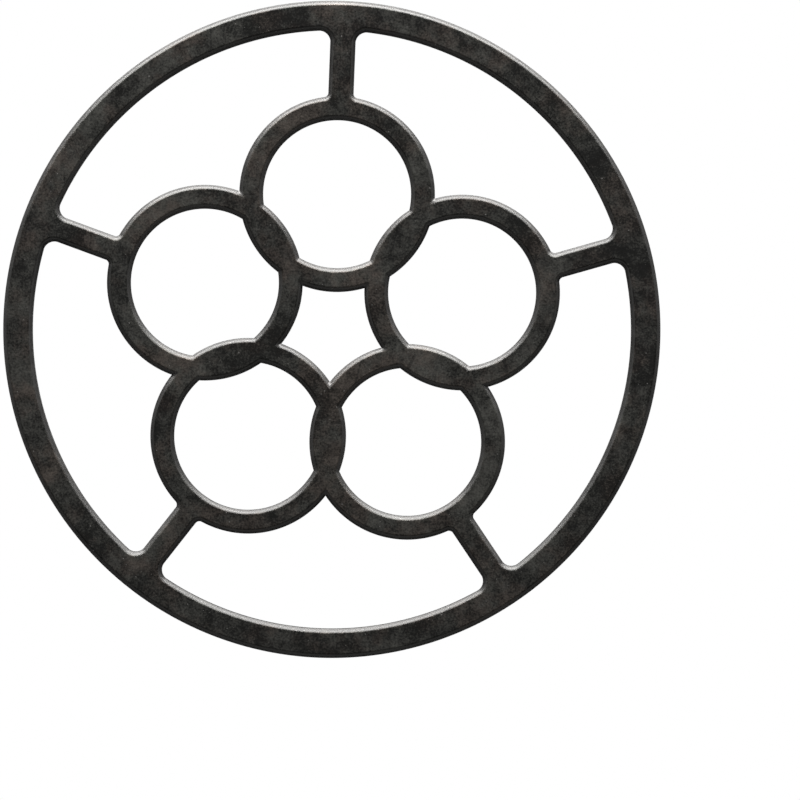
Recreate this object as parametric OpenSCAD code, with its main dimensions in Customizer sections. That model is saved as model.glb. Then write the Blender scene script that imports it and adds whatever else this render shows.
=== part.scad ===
// Wok ring: a flat cast-iron lattice that lies on a hob's pan support and carries a round-bottomed wok.
// It is one casting: a round rim, a rosette of interlaced loops inside it, and a spoke from each loop
// to the rim. Every bar shares one section, with drafted walls and a bevel round its top edges.
// The origin is the centre of the flat underside, +Z is up, and the first loop lies on the +Y axis.

/* [Rim] */
// Outside diameter of the ring
rim_d = 140; // [125:1:240]
// Width of the rim, from its outer wall to its inner wall
rim_w = 6.3; // [4.5:0.1:10]

/* [Loops] */
// Number of loops in the rosette, and of spokes
loop_count = 5; // [4:1:7]
// Outside diameter of a loop
loop_d = 41.7; // [34:0.1:48]
// Width of the bar that a loop is made of
loop_w = 5.1; // [4:0.1:7]
// How far each loop runs into its neighbour, on the line between their centres
loop_overlap = 7.8; // [5:0.1:10]

/* [Spokes] */
// Width of a spoke
spoke_w = 5.4; // [4:0.1:8]
// Radius of the fillets where a spoke meets the rim
rim_fillet_r = 2.4; // [1:0.1:4]
// Radius of the fillets where a spoke meets its loop
loop_fillet_r = 1.1; // [0.5:0.1:3]

/* [Section] */
// Thickness of the casting
plate_t = 4; // [3:0.1:10]
// Draft of the walls, which lean inwards as they rise from the underside
draft_angle = 1; // [0:0.1:2]
// Width of the bevel's steep outer facet, seen from above
bevel_outer_w = 0.45; // [0.1:0.05:0.6]
// Height of the bevel's steep outer facet
bevel_outer_h = 0.5; // [0.2:0.05:1]
// Width of the bevel's gentle inner facet, seen from above
bevel_inner_w = 0.5; // [0.1:0.05:0.6]
// Height of the bevel's gentle inner facet
bevel_inner_h = 0.3; // [0.1:0.05:0.6]

/* [Hidden] */
$fn = 180;

// How far a fillet bites into the two walls that it blends
fillet_bite = 0.02;
// How far the bars run on below the underside before they are trimmed level
trim = 0.4;

// Heights in the bars' own frame, where the flush top faces lie at 0: the break between the
// bevel's facets, the head of the walls and the underside
facet_z = -bevel_inner_h;
head_z = facet_z - bevel_outer_h;
under_z = -plate_t;
// How far a wall has moved in from its foot, at its head, between the facets and at the top face
lean = tan(draft_angle);
head_inset = (head_z - under_z) * lean;
facet_inset = head_inset + bevel_outer_w;
top_inset = facet_inset + bevel_inner_w;

// Rim: its inner wall and the middle of its bar
rim_inner_r = rim_d / 2 - rim_w;
rim_mid_r = rim_d / 2 - rim_w / 2;
// Loops: the outer wall, the middle of the bar, and the circle that their centres lie on
loop_r = loop_d / 2;
loop_mid_r = loop_r - loop_w / 2;
loop_step = 360 / loop_count;
loop_pitch_r = (loop_d - loop_overlap) / (2 * sin(loop_step / 2));
// Spokes: half the width
spoke_half = spoke_w / 2;

// Outline of a wall from its foot to the top face, for a wall whose foot stands at edge and that
// leans by side: -1 towards the middle of a bar, or 1 away from the middle of a cutter
function wall(edge, side, deep) = [
    [edge - side * deep * lean, under_z - deep],
    [edge + side * head_inset, head_z],
    [edge + side * facet_inset, facet_z],
    [edge + side * top_inset, 0]
];

// Section shared by every bar, upright in the plane and centred on its bar's middle line
module bar_section(w, deep) {
    right = wall(w / 2, -1, deep);
    left = [for (i = [len(right) - 1 : -1 : 0]) [-right[i][0], right[i][1]]];
    polygon(concat(right, left));
}

// Round bar: the section swept round a circle of radius mid_r
module round_bar(mid_r, w) {
    rotate_extrude()
        translate([mid_r, 0])
            bar_section(w, trim);
}

// Straight bar: the section drawn out along +X, from one distance to another. It runs deeper than
// the round bars before the trim, so that no two bars end at one level there.
module straight_bar(start, end, w) {
    translate([start, 0, 0])
        rotate([90, 0, 90])
            linear_extrude(height = end - start)
                bar_section(w, 2 * trim);
}

// Cutter that leaves a fillet of radius r: it widens with height just as the bars narrow
module fillet_cutter(r) {
    above = 1;
    spread = above * bevel_inner_w / bevel_inner_h;
    rotate_extrude()
        polygon(concat(
            [[0, under_z - 2 * trim]],
            [for (p = wall(r, 1, 2 * trim)) if (p[1] < 0) p],
            [[r + top_inset + spread, above], [0, above]]
        ));
}

// Point of the plan given as [along, across] a spoke, for the spoke that points at angle
function on_spoke(p, angle) = [
    p[0] * cos(angle) - p[1] * sin(angle),
    p[0] * sin(angle) + p[1] * cos(angle)
];

// Pair of fillets between a spoke and the round bar that it runs into. The fillet circles have
// their centres at hub, on either side of the spoke, and the web between them runs on to root,
// which lies inside the round bar.
module fillet_pair(hub, root, r, angle) {
    corners = [hub, root, [root[0], -root[1]], [hub[0], -hub[1]]];
    difference() {
        translate([0, 0, under_z - trim])
            linear_extrude(height = plate_t + trim)
                polygon([for (p = corners) on_spoke(p, angle)]);
        for (p = [corners[0], corners[3]])
            translate(on_spoke(p, angle))
                fillet_cutter(r);
    }
}

// Fillets at the rim: each fillet circle touches the rim's inner wall from inside
module rim_fillets(angle) {
    across = spoke_half + rim_fillet_r - fillet_bite;
    reach = rim_inner_r - rim_fillet_r + fillet_bite;
    hub = [sqrt(reach * reach - across * across), across];
    root = hub * rim_mid_r / reach;
    fillet_pair(hub, root, rim_fillet_r, angle);
}

// Fillets at a loop: each fillet circle touches the loop's outer wall from outside
module loop_fillets(angle) {
    across = spoke_half + loop_fillet_r - fillet_bite;
    reach = loop_r + loop_fillet_r - fillet_bite;
    along = sqrt(reach * reach - across * across);
    hub = [loop_pitch_r + along, across];
    root = [loop_pitch_r + along * loop_mid_r / reach, across * loop_mid_r / reach];
    fillet_pair(hub, root, loop_fillet_r, angle);
}

// One loop of the rosette, with the spoke that ties it to the rim
module petal(angle) {
    translate(on_spoke([loop_pitch_r, 0], angle))
        round_bar(loop_mid_r, loop_w);
    rotate([0, 0, angle])
        straight_bar(loop_pitch_r + loop_mid_r, rim_mid_r, spoke_w);
    loop_fillets(angle);
    rim_fillets(angle);
}

// The whole casting: the rim and one petal for each loop, trimmed level underneath
module wok_ring() {
    color([0.16, 0.155, 0.15])
        translate([0, 0, plate_t])
            difference() {
                union() {
                    round_bar(rim_mid_r, rim_w);
                    for (i = [0 : loop_count - 1])
                        petal(90 + i * loop_step);
                }
                translate([0, 0, under_z - 3 * trim])
                    cylinder(h = 3 * trim, d = rim_d + rim_w);
            }
}

wok_ring();
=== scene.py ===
from math import cos, pi, radians, sin, sqrt, tan, tau

import bmesh
import bpy
from mathutils import Matrix, Vector


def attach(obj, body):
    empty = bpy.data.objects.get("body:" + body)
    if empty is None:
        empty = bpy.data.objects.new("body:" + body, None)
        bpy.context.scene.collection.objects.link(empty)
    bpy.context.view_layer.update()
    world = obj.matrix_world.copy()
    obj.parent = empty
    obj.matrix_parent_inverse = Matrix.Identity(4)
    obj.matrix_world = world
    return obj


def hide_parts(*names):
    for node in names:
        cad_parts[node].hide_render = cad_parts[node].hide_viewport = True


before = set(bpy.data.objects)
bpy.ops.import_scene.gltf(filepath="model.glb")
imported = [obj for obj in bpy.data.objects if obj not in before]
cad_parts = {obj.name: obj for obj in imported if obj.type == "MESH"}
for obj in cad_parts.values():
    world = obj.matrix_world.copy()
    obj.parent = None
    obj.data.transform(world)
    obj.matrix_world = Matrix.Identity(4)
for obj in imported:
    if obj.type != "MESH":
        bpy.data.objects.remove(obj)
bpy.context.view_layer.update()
scene = bpy.context.scene
scene.view_settings.view_transform = "Standard"

# The ring is seen from straight above, through a lens so long that no wall shows. Picture-up is
# turned a little away from +Y, because the ring lies slightly turned, and the ring fills the
# upper left of the picture.
PICTURE_SPAN = 0.1702
PICTURE_TURN = radians(2.2)
RING_OFF_CENTRE = Vector((0.01451, -0.01503))
CAMERA_HEIGHT = 2.4
TOP_HEIGHT = 0.004
SENSOR_WIDTH = 36

picture_right = Vector((cos(PICTURE_TURN), sin(PICTURE_TURN), 0))
picture_up = Vector((-sin(PICTURE_TURN), cos(PICTURE_TURN), 0))

lens = bpy.data.cameras.new("camera")
lens.sensor_width = SENSOR_WIDTH
lens.lens = SENSOR_WIDTH * (CAMERA_HEIGHT - TOP_HEIGHT) / PICTURE_SPAN
lens.clip_end = 20
camera = bpy.data.objects.new("camera", lens)
scene.collection.objects.link(camera)
camera.location = (RING_OFF_CENTRE.x * picture_right + RING_OFF_CENTRE.y * picture_up
                   + Vector((0, 0, CAMERA_HEIGHT)))
camera.rotation_euler = (0, 0, PICTURE_TURN)
scene.camera = camera

# The pale floor is a sheet of seamless white paper that runs on out of the picture. The camera
# sees it lit evenly to white, and the iron sees only a soft grey in it. It lies a hair below the
# ring's underside, so that the two never share a plane.
PAPER_DROP = 0.0002
PAPER_HALF = 6

floor_mesh = bmesh.new()
bmesh.ops.create_grid(floor_mesh, x_segments=1, y_segments=1, size=PAPER_HALF)
bmesh.ops.translate(floor_mesh, verts=floor_mesh.verts[:], vec=(0, 0, -PAPER_DROP))
paper = bpy.data.meshes.new("floor")
floor_mesh.to_mesh(paper)
floor_mesh.free()
floor = bpy.data.objects.new("floor", paper)
scene.collection.objects.link(floor)


def fresh_material(name):
    material = bpy.data.materials.new(name)
    material.use_nodes = True
    material.node_tree.nodes.clear()
    return material, material.node_tree.nodes, material.node_tree.links


paper_white, nodes, links = fresh_material("white_paper")
seen = nodes.new("ShaderNodeEmission")
seen.inputs["Color"].default_value = (1, 1, 1, 1)
seen.inputs["Strength"].default_value = 1.0
bounced = nodes.new("ShaderNodeBsdfDiffuse")
bounced.inputs["Color"].default_value = (0.22, 0.22, 0.22, 1)
ray = nodes.new("ShaderNodeLightPath")
choice = nodes.new("ShaderNodeMixShader")
surface = nodes.new("ShaderNodeOutputMaterial")
links.new(ray.outputs["Is Camera Ray"], choice.inputs["Fac"])
links.new(bounced.outputs["BSDF"], choice.inputs[1])
links.new(seen.outputs["Emission"], choice.inputs[2])
links.new(choice.outputs["Shader"], surface.inputs["Surface"])
floor.data.materials.append(paper_white)

# The room is a white tent that the camera sees and that lights the iron only dimly.
room = bpy.data.worlds.new("room")
scene.world = room
room.use_nodes = True
nodes, links = room.node_tree.nodes, room.node_tree.links
nodes.clear()
ray = nodes.new("ShaderNodeLightPath")
strength = nodes.new("ShaderNodeMix")
strength.data_type = "FLOAT"
strength.inputs["A"].default_value = 0.22
strength.inputs["B"].default_value = 1.0
sky = nodes.new("ShaderNodeBackground")
sky.inputs["Color"].default_value = (1, 1, 1, 1)
output = nodes.new("ShaderNodeOutputWorld")
links.new(ray.outputs["Is Camera Ray"], strength.inputs["Factor"])
links.new(strength.outputs["Result"], sky.inputs["Strength"])
links.new(sky.outputs["Background"], output.inputs["Surface"])

# One long soft box stands low behind the top edge of the picture and glints in the bevels that
# face it. A second, faint one hangs overhead and brings out the skin of the iron. A third, just as
# faint, stands opposite the first and lifts the gentle facets that face it out of the black.


def soft_box(name, bearing, elevation, distance, width, height, power):
    """Area light on the bearing given from picture-up, turned to face the ring."""
    light = bpy.data.lights.new(name, "AREA")
    light.shape = "RECTANGLE"
    light.size = width
    light.size_y = height
    light.energy = power
    away = (cos(bearing) * picture_up + sin(bearing) * picture_right) * cos(elevation)
    away += Vector((0, 0, sin(elevation)))
    box = bpy.data.objects.new(name, light)
    scene.collection.objects.link(box)
    box.location = away * distance
    box.rotation_euler = away.to_track_quat("Z", "Y").to_euler()
    box.visible_camera = False
    return box


soft_box("key", 0, radians(15), 0.8, 1.5, 0.4, 66)
soft_box("overhead", 0, radians(80), 1.2, 0.8, 0.8, 0.8)
soft_box("fill", pi, radians(28), 0.8, 1.2, 0.5, 0.7)

# Wok ring: one flat iron casting, poured into sand and ground level on top. Its rim, its five
# interlaced loops and the five spokes between them are drawn in plan, joined into one outline,
# and raised from the underside to the bevelled top.
RIM_R = 0.070
RIM_W = 0.0063
LOOPS = 5
LOOP_R = 0.02085
LOOP_W = 0.0051
LOOP_OVERLAP = 0.0078
SPOKE_W = 0.0054
RIM_FILLET_R = 0.0024
LOOP_FILLET_R = 0.0011
FILLET_BITE = 0.00002
RIM_STEPS = 360
LOOP_STEPS = 180
FILLET_STEPS = 96
BLANK_HEIGHT = 0.002

pitch_r = (2 * LOOP_R - LOOP_OVERLAP) / (2 * sin(pi / LOOPS))


def thicken(bm, bottom, top):
    """Turns the flat faces of a mesh at height 0 into closed blanks."""
    raised = bmesh.ops.extrude_face_region(bm, geom=bm.faces[:], use_keep_orig=True)
    corners = [g for g in raised["geom"] if isinstance(g, bmesh.types.BMVert)]
    bmesh.ops.translate(bm, verts=corners, vec=(0, 0, top - bottom))
    bmesh.ops.translate(bm, verts=bm.verts[:], vec=(0, 0, bottom))
    bmesh.ops.recalc_face_normals(bm, faces=bm.faces[:])


def blank(name, bm):
    mesh = bpy.data.meshes.new(name)
    bm.to_mesh(mesh)
    bm.free()
    obj = bpy.data.objects.new(name, mesh)
    scene.collection.objects.link(obj)
    return obj


def ring_blank(name, centre, outer, inner, steps):
    bm = bmesh.new()
    bm.edges.new([bm.verts.new((inner, 0, 0)), bm.verts.new((outer, 0, 0))])
    bmesh.ops.spin(bm, geom=bm.verts[:] + bm.edges[:], axis=(0, 0, 1), cent=(0, 0, 0),
                   angle=tau, steps=steps, use_merge=True)
    bmesh.ops.translate(bm, verts=bm.verts[:], vec=centre)
    thicken(bm, 0, BLANK_HEIGHT)
    return blank(name, bm)


def disc_blank(name, centre, radius, steps):
    bm = bmesh.new()
    bmesh.ops.create_circle(bm, cap_ends=True, radius=radius, segments=steps)
    bmesh.ops.translate(bm, verts=bm.verts[:], vec=centre)
    thicken(bm, -BLANK_HEIGHT, 2 * BLANK_HEIGHT)
    return blank(name, bm)


def slab_blank(name, corners):
    bm = bmesh.new()
    bm.faces.new([bm.verts.new(c) for c in corners])
    thicken(bm, 0, BLANK_HEIGHT)
    return blank(name, bm)


def join_or_cut(obj, tools, operation):
    """Joins the tools to a blank, or cuts them out of it, and uses them up."""
    bench = bpy.data.collections.new("bench")
    scene.collection.children.link(bench)
    for tool in tools:
        bench.objects.link(tool)
    cut = obj.modifiers.new("cut", "BOOLEAN")
    cut.operation = operation
    cut.solver = "EXACT"
    cut.operand_type = "COLLECTION"
    cut.collection = bench
    done = obj.evaluated_get(bpy.context.evaluated_depsgraph_get())
    mesh = bpy.data.meshes.new_from_object(done)
    obj.modifiers.clear()
    obj.data = mesh
    for tool in tools:
        bpy.data.objects.remove(tool)
    bpy.data.collections.remove(bench)
    return obj


bars = []
for i in range(LOOPS):
    along = Matrix.Rotation(pi / 2 + i * tau / LOOPS, 3, "Z")
    loop_centre = along @ Vector((pitch_r, 0, 0))
    bars.append(ring_blank("loop", loop_centre, LOOP_R, LOOP_R - LOOP_W, LOOP_STEPS))
    half = SPOKE_W / 2
    start = pitch_r + LOOP_R - LOOP_W / 2
    end = RIM_R - RIM_W / 2
    corners = [(start, -half), (end, -half), (end, half), (start, half)]
    bars.append(slab_blank("spoke", [along @ Vector((x, y, 0)) for x, y in corners]))
    # Each fillet is a web between the spoke and a round bar, less two discs that touch both.
    for radius, hub, wall_r, side, mid_r in (
            (RIM_FILLET_R, 0, RIM_R - RIM_W, -1, end),
            (LOOP_FILLET_R, pitch_r, LOOP_R, 1, LOOP_R - LOOP_W / 2)):
        across = half + radius - FILLET_BITE
        reach = wall_r + side * (radius - FILLET_BITE)
        x = sqrt(reach ** 2 - across ** 2)
        root = mid_r / reach
        corners = [(x, -across), (x * root, -across * root), (x * root, across * root), (x, across)]
        web = slab_blank("web", [along @ Vector((hub + u, v, 0)) for u, v in corners])
        discs = [disc_blank("disc", along @ Vector((hub + x, v, 0)), radius, FILLET_STEPS)
                 for v in (-across, across)]
        bars.append(join_or_cut(web, discs, "DIFFERENCE"))
rim = ring_blank("rim", (0, 0, 0), RIM_R, RIM_R - RIM_W, RIM_STEPS)
joined = join_or_cut(rim, bars, "UNION")

# Only the outline of the joined blanks' top faces is kept, brought down to height 0, and filled
# afresh as one flat face of triangles.
OUTLINE_MERGE = 0.00003

bm = bmesh.new()
bm.from_mesh(joined.data)
bpy.data.objects.remove(joined)
bmesh.ops.delete(bm, geom=[f for f in bm.faces if f.normal.z < 0.5], context="FACES")
inside = [e for e in bm.edges if not e.is_boundary]
bmesh.ops.delete(bm, geom=bm.faces[:], context="FACES_ONLY")
bmesh.ops.delete(bm, geom=inside, context="EDGES")
bmesh.ops.delete(bm, geom=[v for v in bm.verts if not v.link_edges], context="VERTS")
bmesh.ops.remove_doubles(bm, verts=bm.verts[:], dist=OUTLINE_MERGE)
bmesh.ops.translate(bm, verts=bm.verts[:], vec=(0, 0, -BLANK_HEIGHT))
bmesh.ops.triangle_fill(bm, edges=bm.edges[:], use_beauty=True, normal=(0, 0, 1))
bmesh.ops.recalc_face_normals(bm, faces=bm.faces[:])
if bm.faces[0].normal.z < 0:
    bmesh.ops.reverse_faces(bm, faces=bm.faces[:])

# The outline is raised from the underside to the top in rings of faces: the leaning wall, the steep
# facet and the gentle one, each arris between them rounded off a little.
PLATE_T = 0.004
DRAFT = radians(1)
FOOT_BREAK = 0.0002
OUTER_FACET = (0.00045, 0.0005)
INNER_FACET = (0.0005, 0.0003)
LEVEL_TOP = (1, 0)
ARRIS_SIZES = (0.00006, 0.00005, 0.00016)
NEAR_SHARE = 0.62
FAR_SHARE = 0.05
MIDDLE_SHARE = 0.33
RING_MERGE = 0.000002

wall_height = PLATE_T - OUTER_FACET[1] - INNER_FACET[1] - FOOT_BREAK
runs = [Vector((wall_height * tan(DRAFT), wall_height)), Vector(OUTER_FACET), Vector(INNER_FACET),
        Vector(LEVEL_TOP)]
steps = []
behind = 0
for run, onward, size in zip(runs, runs[1:], ARRIS_SIZES):
    # Three facets take each arris round from one run to the next.
    into, out = run.normalized() * size, onward.normalized() * size
    steps.append(run - into - behind * run.normalized())
    steps.append(into * NEAR_SHARE + out * FAR_SHARE)
    steps.append((into + out) * MIDDLE_SHARE)
    steps.append(into * FAR_SHARE + out * NEAR_SHARE)
    behind = size

plan = bm.faces[:]
under = bmesh.ops.duplicate(bm, geom=bm.verts[:] + bm.edges[:] + bm.faces[:])
under = [g for g in under["geom"] if isinstance(g, bmesh.types.BMFace)]
bmesh.ops.reverse_faces(bm, faces=under)
bmesh.ops.inset_region(bm, faces=under, thickness=FOOT_BREAK, depth=FOOT_BREAK,
                       use_boundary=True, use_even_offset=True)
for step in steps:
    bmesh.ops.inset_region(bm, faces=plan, thickness=step.x, depth=step.y,
                           use_boundary=True, use_even_offset=True)
bmesh.ops.translate(bm, verts=bm.verts[:], vec=(0, 0, FOOT_BREAK))
bmesh.ops.remove_doubles(bm, verts=bm.verts[:], dist=RING_MERGE)

mesh = bpy.data.meshes.new("wok_ring_casting")
bm.to_mesh(mesh)
bm.free()
mesh.shade_smooth()
casting = bpy.data.objects.new("wok_ring_casting", mesh)
scene.collection.objects.link(casting)
flats = casting.modifiers.new("flats", "WEIGHTED_NORMAL")
flats.mode = "FACE_AREA"
flats.weight = 100

# The skin of the iron is nearly black, mottled by heat and oil: neutral dark patches, warmer and
# paler ones, a fine grain, a few hairline scratches and pale specks. The bevels are rubbed smoother.
iron, nodes, links = fresh_material("seasoned_iron")
position = nodes.new("ShaderNodeTexCoord").outputs["Object"]


def stretched(scale, turn):
    mapping = nodes.new("ShaderNodeMapping")
    mapping.inputs["Scale"].default_value = scale
    mapping.inputs["Rotation"].default_value = (0, 0, radians(turn))
    links.new(position, mapping.inputs["Vector"])
    return mapping.outputs["Vector"]


def noise(vector, scale, detail, roughness):
    node = nodes.new("ShaderNodeTexNoise")
    node.inputs["Scale"].default_value = scale
    node.inputs["Detail"].default_value = detail
    node.inputs["Roughness"].default_value = roughness
    links.new(vector, node.inputs["Vector"])
    return node.outputs["Fac"]


def feed(socket, value):
    if isinstance(value, bpy.types.NodeSocket):
        links.new(value, socket)
    else:
        socket.default_value = value


def work_out(operation, a, b):
    node = nodes.new("ShaderNodeMath")
    node.operation = operation
    feed(node.inputs[0], a)
    feed(node.inputs[1], b)
    return node.outputs["Value"]


def ramp(value, low, high, to_low=0.0, to_high=1.0):
    node = nodes.new("ShaderNodeMapRange")
    node.interpolation_type = "SMOOTHSTEP"
    feed(node.inputs["Value"], value)
    for name, number in (("From Min", low), ("From Max", high), ("To Min", to_low), ("To Max", to_high)):
        node.inputs[name].default_value = number
    return node.outputs["Result"]


def tint(factor, a, b):
    node = nodes.new("ShaderNodeMix")
    node.data_type = "RGBA"
    feed(node.inputs["Factor"], factor)
    for socket, colour in ((node.inputs[6], a), (node.inputs[7], b)):
        feed(socket, colour)
    return node.outputs[2]


broad = noise(position, 70, 3, 0.6)
blotch = noise(position, 330, 6, 0.72)
grain = noise(position, 2300, 3, 0.7)
warm = noise(stretched((1, 1, 1), 40), 120, 4, 0.6)
streak = noise(stretched((1, 0.09, 1), 12), 900, 3, 0.6)

tone = work_out("ADD", work_out("MULTIPLY", broad, 2.1), work_out("MULTIPLY", blotch, 1.7))
tone = work_out("ADD", tone, work_out("MULTIPLY", grain, 2.3))
tone = work_out("ADD", tone, work_out("MULTIPLY", streak, 0.35))
tone = work_out("SUBTRACT", tone, 2.9)
dark = tint(ramp(warm, 0.42, 0.62), (0.0042, 0.0042, 0.0037, 1), (0.0056, 0.0044, 0.0036, 1))
pale = tint(ramp(warm, 0.42, 0.62), (0.0470, 0.0465, 0.0415, 1), (0.0560, 0.0470, 0.0400, 1))
skin = tint(tone, dark, pale)

cracks = nodes.new("ShaderNodeTexVoronoi")
cracks.feature = "DISTANCE_TO_EDGE"
cracks.inputs["Scale"].default_value = 34
links.new(stretched((1, 0.45, 1), 25), cracks.inputs["Vector"])
hairline = work_out("MULTIPLY", ramp(cracks.outputs["Distance"], 0.002, 0.007, 0.5, 0),
                    ramp(noise(position, 45, 2, 0.5), 0.56, 0.62))
skin = tint(hairline, skin, (0.003, 0.003, 0.003, 1))
speck = ramp(noise(position, 1500, 1, 0.5), 0.74, 0.80)
skin = tint(speck, skin, (0.13, 0.125, 0.12, 1))

# Depths below the top between which the rubbed band of the bevels fades in, and fades out again.
RUBBED_FROM = (0.00005, 0.0002)
RUBBED_TO = (0.0008, 0.0010)

height = nodes.new("ShaderNodeSeparateXYZ")
links.new(position, height.inputs["Vector"])
level = height.outputs["Z"]
rubbed = work_out("MULTIPLY", ramp(level, PLATE_T - RUBBED_FROM[0], PLATE_T - RUBBED_FROM[1]),
                  ramp(level, PLATE_T - RUBBED_TO[1], PLATE_T - RUBBED_TO[0]))
colour = tint(work_out("MULTIPLY", rubbed, 0.75), skin, (0.0435, 0.0425, 0.0415, 1))

relief = work_out("ADD", work_out("MULTIPLY", grain, 0.6), work_out("MULTIPLY", blotch, 0.8))
relief = work_out("SUBTRACT", relief, work_out("MULTIPLY", hairline, 1.5))
bump = nodes.new("ShaderNodeBump")
bump.inputs["Distance"].default_value = 0.00012
links.new(work_out("SUBTRACT", 0.35, work_out("MULTIPLY", rubbed, 0.3)), bump.inputs["Strength"])
links.new(relief, bump.inputs["Height"])

shader = nodes.new("ShaderNodeBsdfPrincipled")
shader.inputs["Metallic"].default_value = 0.7
links.new(colour, shader.inputs["Base Color"])
links.new(bump.outputs["Normal"], shader.inputs["Normal"])
links.new(ramp(blotch, 0.3, 0.7, 0.36, 0.46), shader.inputs["Roughness"])
surface = nodes.new("ShaderNodeOutputMaterial")
links.new(shader.outputs["BSDF"], surface.inputs["Surface"])
casting.data.materials.append(iron)

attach(casting, "root")
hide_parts("wok_ring")
